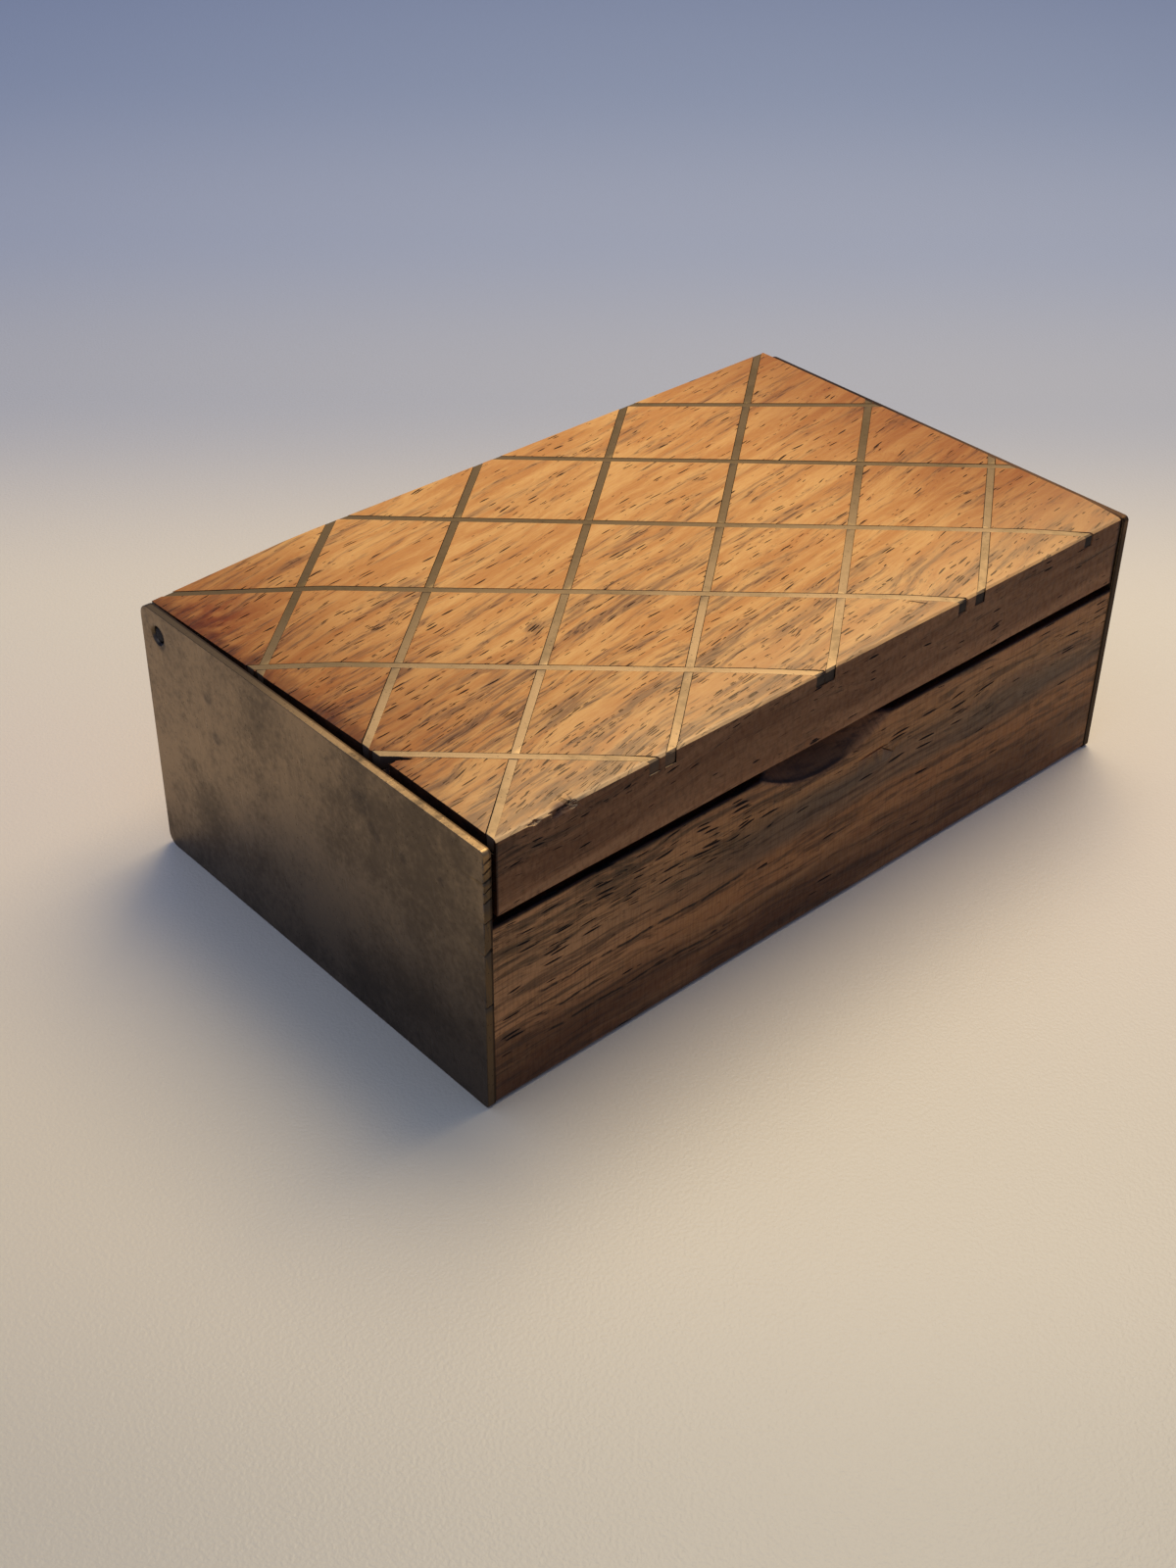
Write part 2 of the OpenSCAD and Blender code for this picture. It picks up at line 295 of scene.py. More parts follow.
class Graph:
    """A material whose nodes are built with short calls. Coordinates are in millimetres."""

    def __init__(self, name):
        self.material = bpy.data.materials.new(name)
        self.material.use_nodes = True
        self.tree = self.material.node_tree
        self.tree.nodes.clear()
        here = self.node("ShaderNodeTexCoord")
        self.at = self.scaled(here.outputs["Object"], (1 / MM,) * 3)

    def node(self, kind, **settings):
        made = self.tree.nodes.new(kind)
        for key, value in settings.items():
            setattr(made, key, value)
        return made

    def put(self, socket, value):
        """Links a socket to another one, or sets its value."""
        if isinstance(value, bpy.types.NodeSocket):
            self.tree.links.new(value, socket)
        else:
            socket.default_value = value

    def vector(self, operation, a, b):
        made = self.node("ShaderNodeVectorMath", operation=operation)
        self.put(made.inputs[0], a)
        self.put(made.inputs[1], b)
        return made.outputs["Value" if operation == "LENGTH" else "Vector"]

    def scaled(self, at, scale):
        return self.vector("MULTIPLY", at, scale)

    def math(self, operation, a, b=0.0, clamp=False):
        made = self.node("ShaderNodeMath", operation=operation, use_clamp=clamp)
        self.put(made.inputs[0], a)
        self.put(made.inputs[1], b)
        return made.outputs[0]

    def plus(self, a, b, clamp=False):
        return self.math("ADD", a, b, clamp)

    def minus(self, a, b):
        return self.math("SUBTRACT", a, b)

    def times(self, first, *others):
        for other in others:
            first = self.math("MULTIPLY", first, other)
        return first

    def turned(self, at, degrees, scale=(1, 1, 1), shift=(0, 0, 0)):
        """Coordinates turned by degrees about X, Y and Z, then shifted and scaled."""
        turn = self.node("ShaderNodeVectorRotate", rotation_type="EULER_XYZ")
        self.put(turn.inputs["Vector"], at)
        turn.inputs["Rotation"].default_value = [math.radians(d) for d in degrees]
        moved = self.vector("ADD", turn.outputs[0], shift)
        return self.scaled(moved, scale)

    def noise(self, at, scale, detail, rough=0.5):
        made = self.node("ShaderNodeTexNoise", noise_dimensions="3D")
        for key, value in (("Vector", at), ("Scale", scale), ("Detail", detail),
                           ("Roughness", rough)):
            self.put(made.inputs[key], value)
        return made.outputs["Fac"]

    def streaks(self, at, scale, detail, rough=0.5):
        """Noise with a scale for each axis. A smaller scale draws it out along that axis."""
        return self.noise(self.scaled(at, scale), 1.0, detail, rough)

    def cells(self, at, dimensions="3D"):
        made = self.node("ShaderNodeTexVoronoi", voronoi_dimensions=dimensions)
        self.put(made.inputs["Vector"], at)
        self.put(made.inputs["Scale"], 1.0)
        return made.outputs["Distance"], made.outputs["Color"]

    def span(self, value, low, high, to_low=0.0, to_high=1.0):
        """Maps low to high onto to_low to to_high, smoothly and with ends."""
        made = self.node("ShaderNodeMapRange", interpolation_type="SMOOTHSTEP")
        for socket, given in zip(made.inputs, (value, low, high, to_low, to_high)):
            self.put(socket, given)
        return made.outputs[0]

    def mix(self, share, a, b, blend="MIX"):
        made = self.node("ShaderNodeMix", data_type="RGBA", blend_type=blend)
        self.put(made.inputs[0], share)
        self.put(made.inputs[6], a)
        self.put(made.inputs[7], b)
        return made.outputs[2]

    def tint(self, share, colour, tone):
        """Multiplies a colour by a tone of 0 to 255 values, by this share."""
        return self.mix(share, colour, srgb(*tone), "MULTIPLY")

    def ramp(self, value, stops):
        made = self.node("ShaderNodeValToRGB")
        made.color_ramp.interpolation = "EASE"
        points = made.color_ramp.elements
        while len(points) < len(stops):
            points.new(0.5)
        for point, (place, colour) in zip(points, stops):
            point.position = place
            point.color = colour
        self.put(made.inputs[0], value)
        return made.outputs[0]

    def split(self, at):
        made = self.node("ShaderNodeSeparateXYZ")
        self.put(made.inputs[0], at)
        return made.outputs

    def bump(self, height, depth):
        """Bump of this depth in millimetres."""
        made = self.node("ShaderNodeBump")
        made.inputs["Strength"].default_value = 1.0
        made.inputs["Distance"].default_value = depth * MM
        self.put(made.inputs["Height"], height)
        return made.outputs[0]

    def done(self, colour, roughness, normal, metallic=0.0, specular=0.5):
        """Ends the graph in one principled shader."""
        shader = self.node("ShaderNodeBsdfPrincipled")
        self.put(shader.inputs["Base Color"], colour)
        self.put(shader.inputs["Roughness"], roughness)
        self.put(shader.inputs["Metallic"], metallic)
        self.put(shader.inputs["Normal"], normal)
        shader.inputs["Specular IOR Level"].default_value = specular
        out = self.node("ShaderNodeOutputMaterial")
        self.tree.links.new(shader.outputs[0], out.inputs["Surface"])
        return self.material


def srgb(red, green, blue):
    """A colour written as 0 to 255 values, as linear RGBA."""
    def linear(c):
        c /= 255
        return c / 12.92 if c <= 0.04045 else ((c + 0.055) / 1.055) ** 2.4
    return (linear(red), linear(green), linear(blue), 1.0)


# Layers of the wood, by the scale of their noise along, across and into the grain, per millimetre.
SLOW_SWAY = (0.03, 0.09, 0.09)
QUICK_SWAY = (0.1, 0.25, 0.25)
MOTTLE = (0.05, 0.55, 0.55)
SMOKE = (0.05, 0.45, 0.45)
GRAIN_LINES = (0.12, 1.5, 1.5)
HAIRS = (0.15, 5.0, 5.0)
FIBRES = (0.6, 8.0, 8.0)
PORE_ROWS = (0.05, 2.4, 2.4)

# Pores: the spacing of their dashes along and across the grain, and the radius as a share of it.
LARGE_RADIUS = 0.3
MIDDLE_PORES = (2.4, 0.24, 0.34)
FINE_PORES = (1.3, 0.17, 0.34)

# Depth of the wood's relief, and how much of its light it mirrors.
PORE_DEPTH = 0.12
WOOD_SPECULAR = 0.15


def dashes(g, at, length, width, radius, share, shift=(0, 0, 0)):
    """Pores cut open along the grain: 1 in a dash and 0 outside. share says how many there are."""
    moved = g.vector("ADD", at, shift)
    distance, colour = g.cells(g.scaled(moved, (1 / length, 1 / width, 1)), "2D")
    chance = g.split(colour)
    used = g.math("LESS_THAN", chance[0], share)
    reach = g.times(g.plus(g.times(chance[1], 0.7), 0.5), radius)
    return g.times(g.span(distance, g.times(reach, 0.6), reach, 1.0, 0.0), used)


def grain_coordinates(g, tilt, shift):
    """Coordinates with X along the grain, Y across it in the face, and Z into the wood.

    tilt turns the object's axes to these. The grain sways a little.
    """
    straight = g.turned(g.at, tilt, shift=shift)
    slow = g.streaks(straight, SLOW_SWAY, 2.0)
    quick = g.streaks(straight, QUICK_SWAY, 2.0)
    sway = g.plus(g.times(g.minus(slow, 0.5), 5.0), g.times(g.minus(quick, 0.5), 1.2))
    offset = g.node("ShaderNodeCombineXYZ")
    g.put(offset.inputs[1], sway)
    g.put(offset.inputs[2], sway)
    return g.vector("ADD", straight, offset.outputs[0])


def wood(name, tones, crowd, dullness, bands=None, extra=None, tilt=(0, 0, 0), shift=(0, 0, 0),
         bold=(5.0, 0.5, 0.2), small=0.15):
    """Open-pored hardwood.

    tones holds the light, warm, smoky and pore colours. crowd(g) says where smoke and pores
    gather, bands(g, grain, colour) lays broad bands over it, and extra(g, colour) ends it.
    tilt and shift place the grain, and dullness is the roughness. bold gives the spacing of the
    large pores along and across the grain and their share, and small the share of the small ones.
    """
    light, warm, smoky, pore = (srgb(*tone) for tone in tones)
    g = Graph(name)
    grain = grain_coordinates(g, tilt, shift)
    gather = crowd(g)

    mottle = g.streaks(grain, MOTTLE, 4.0, 0.65)
    colour = g.mix(g.span(mottle, 0.36, 0.64), light, warm)
    if bands:
        colour = bands(g, grain, colour)
    smoke = g.streaks(grain, SMOKE, 4.0, 0.65)
    veil = g.plus(smoke, g.times(g.minus(gather, 0.5), 0.16))
    colour = g.mix(g.span(veil, 0.5, 0.72, 0.0, 0.35), colour, smoky)
    line = g.streaks(grain, GRAIN_LINES, 3.0, 0.6)
    line = g.plus(line, g.times(g.minus(veil, 0.52), 0.8))
    line_share = g.times(g.span(line, 0.5, 0.7, 0.0, 0.75),
                         g.plus(g.times(gather, 0.6), 0.4, clamp=True))
    colour = g.mix(line_share, colour, smoky)
    hair = g.streaks(grain, HAIRS, 2.0)
    hair = g.plus(hair, g.times(g.minus(line, 0.5), 0.5))
    colour = g.mix(g.span(hair, 0.62, 0.74, 0.0, 0.55), colour, pore)
    fibre = g.streaks(grain, FIBRES, 2.0, 0.6)
    colour = g.mix(g.span(fibre, 0.3, 0.72, 0.0, 0.25), colour, warm, "MULTIPLY")

    length, width, share = bold
    large = dashes(g, grain, length, width, LARGE_RADIUS, g.times(gather, share))
    row = g.span(g.streaks(grain, PORE_ROWS, 1.0), 0.53, 0.63)
    gathered = g.times(gather, small, row)
    middle = dashes(g, grain, *MIDDLE_PORES, gathered, (9, 4, 2))
    fine = dashes(g, grain, *FINE_PORES, gathered, (3, 8, 5))
    pores = g.math("MAXIMUM", large, g.math("MAXIMUM", middle, g.times(fine, 0.8)))
    colour = g.mix(g.times(pores, 0.95), colour, pore)
    if extra:
        colour = extra(g, colour)
    scuffs = g.noise(g.turned(g.at, (0, 0, 35), (0.3, 2.5, 1.0)), 1.0, 3.0)
    rough = g.span(scuffs, 0.35, 0.7, dullness - 0.07, dullness + 0.1)
    rough = g.math("MAXIMUM", rough, g.times(pores, 0.9))
    relief = g.minus(g.times(fibre, 0.2), pores)
    relief = g.minus(relief, g.span(line, 0.54, 0.68, 0.0, 0.2))
    return g.done(colour, rough, g.bump(relief, PORE_DEPTH), specular=WOOD_SPECULAR)


def spot(g, at, radius, edge):
    """1 inside a round spot and 0 outside. edge is the share of the radius that is soft."""
    apart = g.vector("SUBTRACT", g.at, at)
    return g.span(g.vector("LENGTH", apart, (0, 0, 0)), radius * (1 - edge), radius, 1.0, 0.0)


def lid_crowd(g):
    """Smoke and pores gather toward the lid's front left, the pores most along its front edge."""
    x, y, _ = g.split(g.at)
    diagonal = g.plus(g.times(x, 0.5), y)
    left = g.span(diagonal, -46, 20, 1.0, 0.3)
    edge = g.span(y, LID_LOW.y + 1.5, LID_LOW.y + 6.0, 0.5, 0.0)
    return g.plus(left, g.times(edge, g.span(x, -20, 0, 1.0, 0.3)))


def lid_stains_and_painted_light(g, colour):
    """Redder ends darkened with painted shade, grime at the left end, a stain in the rear left corner,
    a pale front, a worn front edge with a painted highlight, and painted shade in its chip.
    """
    x, y, _ = g.split(g.at)
    # Painted shade: both ends of the lid are darkened, less so at its front left, for light that falls
    # off toward them. They are also redder.
    kept = g.math("MAXIMUM", g.math("GREATER_THAN", x, 0.0), g.span(y, -26, -6, 0.15, 1.0))
    far = g.times(g.span(g.math("ABSOLUTE", x), 22, 50), kept)
    colour = g.tint(far, colour, (204, 184, 168))
    pale = g.span(y, LID_LOW.y, LID_LOW.y + 16, 0.26, 0.0)
    colour = g.mix(pale, colour, srgb(252, 204, 136))
    ragged = g.streaks(g.at, (0.5, 0.8, 0.8), 3.0)
    end = g.span(g.plus(x, g.times(ragged, -4.0)), LID_LOW.x - 2.0, LID_LOW.x + 1.0, 1.0, 0.0)
    end = g.times(end, g.span(y, -26, -8, 0.15, 0.6))
    colour = g.tint(end, colour, (120, 78, 62))
    stain = spot(g, (LID_LOW.x + 2.5, LID_HIGH.y - 8, LID_HIGH.z), 8, 0.9)
    patchy = g.times(stain, g.span(ragged, 0.35, 0.65, 0.2, 0.75))
    colour = g.tint(patchy, colour, (172, 104, 78))
    # Wear and painted highlight: the front edge is paler, both as worn wood and as the light its
    # rounding catches.
    rubbed = g.times(g.span(y, LID_LOW.y + 0.35, LID_LOW.y + 0.9, 0.6, 0.0),
                     g.span(x, -30, -5, 1.0, 0.3))
    colour = g.mix(rubbed, colour, srgb(250, 202, 134))
    # Painted shade: the chip and the wood round it are painted dark brown.
    chip = spot(g, (CHIP_X, LID_LOW.y - 0.5, LID_HIGH.z - 1.0), 2.0, 0.4)
    broken = g.times(chip, g.span(ragged, 0.3, 0.5, 0.3, 0.9))
    return g.mix(broken, colour, srgb(92, 58, 42))


def saw_marks(g, colour, scale, strength):
    """Faint marks of the saw across the grain, never quite planed away."""
    marks = g.streaks(g.at, scale, 3.0, 0.6)
    return g.tint(g.span(marks, 0.46, 0.62, 0.0, strength), colour, (168, 160, 152))


def lid_side_crowd(g):
    """The lid's edges show most pores at the upper left of the front."""
    x, _, z = g.split(g.at)
    return g.times(g.span(x, -45, -25, 1.0, 0.4), g.span(z, 27, 33, 0.3, 1.0))


def side_shade(g, colour):
    """The lid's edges are darker than its top, least so at the foot, and grimy at the ends."""
    x, _, z = g.split(g.at)
    foot = g.span(z, LID_LOW.z, LID_LOW.z + 3.0)
    colour = g.tint(foot, colour, (205, 200, 200))
    colour = saw_marks(g, colour, (1.9, 0.2, 0.9), 0.35)
    end = g.span(g.math("ABSOLUTE", x), LID_HIGH.x - 0.4, LID_HIGH.x - 0.15)
    return g.tint(end, colour, (124, 108, 96))


def block_crowd(g):
    """The block's pores gather in the upper left of its front, and miss the thumb notch."""
    x, y, z = g.split(g.at)
    behind = g.span(y, BLOCK_LOW.y + 0.3, BLOCK_LOW.y + 0.7)
    front = g.minus(1.0, behind)
    upper = g.times(g.span(z, 14, 17.5), g.span(x, -18, -4, 1.0, 0.3))
    lower = g.times(g.span(z, 3, 8, 0.1, 0.22), g.span(x, -30, -5, 1.0, 0.15))
    return g.times(front, g.math("MAXIMUM", upper, lower))


# The long grain lines of the block's front: height, left end and right end of each.
FRONT_LINES = ((12.0, -44, -10), (8.9, -45, -30), (6.1, -43, -12))


def block_lines(g, colour):
    """Three long thin grain lines in the left of the block's front."""
    x, y, z = g.split(g.at)
    sway = g.streaks(g.at, (0.12, 0.0, 0.0), 3.0)
    height = g.plus(z, g.times(g.minus(sway, 0.5), 1.6))
    broken = g.span(g.streaks(g.at, (0.5, 0.3, 1.5), 2.0), 0.38, 0.5)
    front = g.math("LESS_THAN", y, BLOCK_LOW.y + 0.4)
    for level, start, end in FRONT_LINES:
        apart = g.math("ABSOLUTE", g.minus(height, level))
        line = g.times(g.span(apart, 0.08, 0.26, 0.9, 0.0), broken)
        within = g.times(g.span(x, start, start + 2), g.span(x, end - 6, end, 1.0, 0.0))
        line = g.times(line, within, front)
        colour = g.mix(line, colour, srgb(22, 15, 12))
    return colour


# The height up the block's front at which its bands end.
BANDS_HIGH = 24.0


def block_bands(g, grain, colour):
    """Broad level bands: dark at the foot and light above it, greyer to the right and paler left."""
    along, height, _ = g.split(grain)
    band = g.ramp(g.math("DIVIDE", height, BANDS_HIGH), (
        (0.05, srgb(86, 52, 31)), (0.28, srgb(108, 72, 43)), (0.4, srgb(162, 110, 63)),
        (0.56, srgb(160, 110, 63)), (0.7, srgb(148, 106, 62)), (0.86, srgb(174, 125, 75)),
        (1.0, srgb(168, 117, 70))))
    level = g.times(g.span(height, 11.5, 14, 0.0, 1.0), g.span(height, 16.5, 20, 1.0, 0.0))
    grey = g.times(level, g.span(along, -34, 4, 0.3, 0.95))
    band = g.mix(grey, band, srgb(100, 86, 66))
    pale = g.times(g.span(height, 6, 10), g.span(along, -42, -14, 0.5, 0.0))
    band = g.mix(pale, band, srgb(218, 163, 106))
    patchy = g.streaks(grain, (0.04, 0.2, 0.2), 3.0)
    colour = g.mix(g.span(patchy, 0.25, 0.6, 0.5, 0.9), colour, band)
    streak = g.streaks(grain, (0.07, 1.1, 1.1), 4.0, 0.65)
    return g.mix(g.span(streak, 0.47, 0.64, 0.0, 0.7), colour, srgb(70, 50, 35))


def block_marks_and_painted_shade(g, colour):
    """Saw marks, grain lines, and painted shade in the thumb notch, on its lip and on the rim."""
    x, y, z = g.split(g.at)
    front = BLOCK_LOW.y
    foot = BLOCK_HIGH.z - NOTCH_DROP
    high = g.span(z, foot, foot + 0.6)
    behind = g.span(y, front + 0.25, front + 0.9)
    shade_in_notch = g.times(behind, g.span(y, front + 5, front + 6.5, 1.0, 0.0))
    shade_in_notch = g.times(shade_in_notch, g.span(x, -2, 9, 1.0, 0.45))
    middle = g.span(g.math("ABSOLUTE", g.minus(x, NOTCH_X)), NOTCH_REACH, NOTCH_REACH + 1, 1.0, 0.0)
    notch = g.times(shade_in_notch, high, middle)
    # Painted shade: the notch under the lid's overhang is painted dark brown, less so to its right.
    colour = g.mix(g.times(notch, 0.75), colour, srgb(66, 46, 27))
    edge = g.times(g.span(y, front + 0.2, front + 0.4),
                   g.span(y, front + 0.5, front + 1, 0.9, 0.0))
    edge = g.times(edge, high, g.span(x, 0, 5, 1.0, 0.0))
    # Painted shade: a near-black line along the notch's lower lip.
    colour = g.mix(edge, colour, srgb(26, 18, 14))
    colour = saw_marks(g, colour, (3.2, 0.2, 0.3), 0.3)
    colour = block_lines(g, colour)
    # Painted shade: the block's top near the front, in the seam under the lid, is darkened.
    rim = g.times(g.span(z, BLOCK_HIGH.z - 0.6, BLOCK_HIGH.z - 0.1),
                  g.span(y, front + 2.2, front + 4.5, 1.0, 0.0))
    return g.tint(rim, colour, (70, 56, 50))


# Cells to a millimetre for the metal's specks, and the turns of its fine scratches in degrees.
SPECKS = (2.2, 2.2, 2.2)
SCRATCH_ANGLES = (12, 48, 97, 151)


def brass(name, metal, tarnish, dirt, amount, rough, scratch, marks=(), dulled=None,
          tinge=None, relief=0.02, metallic=0.88):
    """Old brass: metal under a patchy tarnish with specks, fine scratches and dark marks.

    amount says how much is tarnished, and scratch is the scale of the scratches' noise. dulled(g)
    may add to the tarnish by place, and tinge(g, colour) may change the colour. The relief is in
    millimetres.
    """
    g = Graph(name)
    cloud = g.noise(g.at, 0.09, 5.0, 0.6)
    grain = g.noise(g.at, 1.1, 4.0, 0.65)
    veil = g.plus(cloud, g.times(g.minus(grain, 0.5), 0.5))
    cover = g.span(veil, 0.5 - amount / 2, 0.9 - amount / 2)
    if dulled:
        cover = g.math("MAXIMUM", cover, dulled(g))
    colour = g.mix(cover, srgb(*metal), srgb(*tarnish))
    distance, tone = g.cells(g.scaled(g.at, SPECKS))
    speck = g.times(g.span(distance, 0.1, 0.24, 1.0, 0.0),
                    g.math("LESS_THAN", g.split(tone)[1], 0.3))
    colour = g.mix(g.times(speck, 0.45), colour, srgb(*dirt))
    for at, radius, strength in marks:
        ragged = g.times(spot(g, at, radius, 0.6), g.span(grain, 0.3, 0.55, 0.6, 1.0))
        colour = g.mix(g.times(ragged, strength), colour, srgb(*dirt))
    if tinge:
        colour = tinge(g, colour)
    height = g.times(grain, 0.7)
    for k, angle in enumerate(SCRATCH_ANGLES):
        line = g.noise(g.turned(g.at, (angle, 0, angle), scratch, (7.0 * k, 3.0, 1.0)), 1.0, 2.0)
        height = g.minus(height, g.span(line, 0.66, 0.74, 0.0, 0.5))
    roughness = g.plus(g.span(cover, 0.0, 1.0, rough, rough + 0.14), g.times(speck, 0.2))
    return g.done(colour, roughness, g.bump(height, relief), metallic=metallic)


# ---------------------------------------------------------------- the materials

# Each wood's light, warm, smoky and pore colours.
LID_TONES = ((236, 176, 96), (214, 146, 72), (138, 99, 61), (34, 21, 15))
LID_SIDE_TONES = ((174, 128, 84), (148, 103, 65), (100, 75, 51), (20, 14, 12))
LID_UNDER_TONES = ((190, 138, 88), (168, 116, 72), (116, 88, 62), (52, 34, 24))
LID_SLOT_TONES = ((74, 52, 38), (60, 42, 32), (46, 34, 26), (20, 14, 12))
BLOCK_TONES = ((200, 148, 91), (166, 113, 67), (90, 69, 44), (12, 9, 8))
HOLLOW_TONES = ((190, 136, 86), (160, 108, 66), (126, 94, 66), (62, 40, 28))

# The lid's grain runs askew, and UPRIGHT lays the grain level on an upright face.
LID_TILT = (0, 0, -8.5)
UPRIGHT = (-90, 0, 0)


def evenly(g):
    """Smoke and pores that gather nowhere."""
    return 0.4


LID_TOP = wood("lid_top_wood", LID_TONES, lid_crowd, 0.44, extra=lid_stains_and_painted_light, tilt=LID_TILT,
               bold=(3.6, 0.3, 0.15), small=0.3)
LID_SIDE = wood("lid_side_wood", LID_SIDE_TONES, lid_side_crowd, 0.55, extra=side_shade,
                tilt=(-90, 0, -4), shift=(20, 0, 3), bold=(3.0, 0.5, 0.14), small=0.25)
LID_UNDER = wood("lid_under_wood", LID_UNDER_TONES, lambda g: 0.5, 0.62, tilt=LID_TILT,
                 shift=(0, 31, 9), bold=(3.6, 0.3, 0.1), small=0.3)
# Painted shade: the wood inside the saw cuts is painted dark, as it lies in shade.
LID_SLOT = wood("lid_slot_wood", LID_SLOT_TONES, evenly, 0.7)
BLOCK_WOOD = wood("block_wood", BLOCK_TONES, block_crowd, 0.52, block_bands, block_marks_and_painted_shade,
                  tilt=UPRIGHT, bold=(5.2, 0.58, 0.5), small=0.35)
HOLLOW_WOOD = wood("hollow_wood", HOLLOW_TONES, evenly, 0.68, tilt=UPRIGHT)
LEVEL_WOOD = wood("level_wood", HOLLOW_TONES, evenly, 0.68)

# Dark marks on the left plate's outer face: place, radius and strength. The first two darken the
# plate round the pivot pin.
FACE_X = PLATE_LOW.x
PLATE_MARKS = (
    ((FACE_X, HINGE_Y, HINGE_Z + 0.1), 1.6, 1.0), ((FACE_X, HINGE_Y - 0.5, HINGE_Z - 0.8), 1.3, 0.9),
    ((FACE_X, 17.5, 26.8), 1.1, 0.4), ((FACE_X, 23.9, 24.2), 0.9, 0.35),
    ((FACE_X, 16.5, 22.0), 1.1, 0.5), ((FACE_X, -10.5, 28.5), 2.2, 0.4),
    ((FACE_X, -12.4, 26.0), 1.6, 0.35), ((FACE_X, -17.1, 25.3), 0.9, 0.45),
    ((FACE_X, -23.3, 26.1), 0.8, 0.45))


def plate_foot_painted_shade(g, colour):
    """The plates are painted darker toward their foot, as the floor's shadow that they mirror."""
    _, y, z = g.split(g.at)
    height = g.plus(z, g.times(y, 0.16))
    return g.tint(g.span(height, -4, 24, 0.95, 0.0), colour, (150, 140, 134))


def strips_back_painted_shade(g, colour):
    """The strips are painted darker toward the back, as shade where they mirror less of the lamp."""
    x, y, _ = g.split(g.at)
    back = g.span(g.plus(y, g.times(x, 0.25)), -24, 12)
    return g.tint(back, colour, (160, 156, 134))


def ends_tinge(g, colour):
    """The strips' ends are darker toward the right of the lid."""
    x, _, _ = g.split(g.at)
    return g.tint(g.span(x, -24, -8), colour, (96, 84, 74))


def inner_shade(g, colour):
    """Tarnish and painted shade on the plates' inner edges, and darker edges on the right plate."""
    x, _, _ = g.split(g.at)
    inner_face = -PLATE_HIGH.x
    inner = g.span(g.math("ABSOLUTE", x), inner_face + 0.2, inner_face + 0.4, 0.8, 0.0)
    colour = g.tint(inner, colour, (130, 116, 104))
    return g.tint(g.math("GREATER_THAN", x, 0.0), colour, (150, 136, 120))


def edge_dulling(g):
    """The plates' edges are rubbed bright at the front and stay dull toward the hinge."""
    _, y, z = g.split(g.at)
    back = g.span(y, -14, 12)
    front = g.math("LESS_THAN", y, PLATE_LOW.y + 0.3)
    low = g.times(front, g.span(z, PLATE_HIGH.z - 4, PLATE_HIGH.z - 1, 0.95, 0.5))
    return g.math("MAXIMUM", back, low)


PLATE_FACE = brass("plate_face", (142, 120, 91), (102, 86, 65), (38, 30, 26), 0.35, 0.3,
                   (0.12, 1.4, 1.4), PLATE_MARKS, tinge=plate_foot_painted_shade)
PLATE_EDGE = brass("plate_edge", (190, 152, 100), (98, 80, 56), (58, 44, 32), 0.15, 0.45,
                   (1.2, 0.3, 2.6), dulled=edge_dulling, tinge=inner_shade)
INLAY = brass("inlay_face", (196, 158, 104), (168, 136, 88), (90, 70, 48), 0.25, 0.5,
              (0.25, 3.0, 3.0), tinge=strips_back_painted_shade, relief=0.003, metallic=0.6)
# The strips' ends and sides: tarnished brass, painted darker still as the shade they stand in.
INLAY_ENDS = brass("inlay_ends", (104, 80, 52), (84, 64, 44), (34, 26, 22), 0.4, 0.6,
                   (0.25, 3.0, 3.0), tinge=ends_tinge, relief=0.01, metallic=0.3)
FITTING_BRASS = brass("fitting_brass", (196, 160, 98), (150, 118, 72), (90, 68, 40), 0.2, 0.42,
                      (0.3, 2.0, 2.0))
DULL_STEEL = brass("dull_steel", (38, 32, 27), (24, 20, 17), (14, 12, 11), 0.4, 0.75,
                   (0.3, 3.0, 3.0), metallic=0.1)

# ---------------------------------------------------------------- the lid and its strips


def lid_settle(p):
    """Wear of the lid: the same small bend for its wood and for its strips."""
    deep = smooth((p.z - LID_LOW.z) / (LID_HIGH.z - LID_LOW.z))
    front = smooth(1 - (p.y - LID_LOW.y) / WORN_FRONT)
    right = smooth((p.x - LID_LOW.x) / (LID_HIGH.x - LID_LOW.x))
    drop = 0.05 + 0.05 * noise.noise(Vector((p.x * 0.05, p.y * 0.05, 0)))
    drop += front * (0.05 + 0.3 * right)
    p.z -= max(0.0, drop) * deep
    left_end = smooth((LID_LOW.x + WORN_END - p.x) / WORN_END)
    p.x += (0.03 + 0.05 * smooth(0.5 - p.y / 40)) * left_end
    if p.y < LID_LOW.y + 1:
        p.y += 0.06 + 0.06 * noise.noise(Vector((p.x * 0.07, 3.3, p.z * 0.2)))
    return p


def fray(p):
    """Nibbles the lid's front top edge."""
    near_edge = smooth(1 - (p.y - LID_LOW.y) / 1.2) * smooth(1 - (LID_HIGH.z - p.z) / 1.2)
    bite = max(0.0, noise.noise(Vector((p.x * 0.55, 0.4, 7.7))) - 0.05)
    bite += 0.6 * max(0.0, noise.noise(Vector((p.x * 1.6, 0.9, 2.1))))
    p.z -= 0.3 * bite * near_edge
    p.y += 0.25 * bite * near_edge
    return p


def near(value, target, room=0.02):
    return abs(value - target) < room


def on_outside(p, low, high):
    """True on the four upright sides of a box with these corners."""
    return any(near(p[i], low[i]) or near(p[i], high[i]) for i in (0, 1))


def inset(p):
    """How far a point lies inside the lid's outline, seen from above."""
    return min(min(p[i] - LID_LOW[i], LID_HIGH[i] - p[i]) for i in (0, 1))


def fill_slot_end(p):
    """Raises the floor of a saw cut to the strip in it, where the cut runs out of the lid."""
    floor = LID_HIGH.z - SLOT_DEPTH
    if floor - 0.4 < p.z < floor + 0.02 and inset(p) < SLOT_MOUTH:
        p.z += SLOT_BELOW_STRIP - UNDER_STRIP
    return p


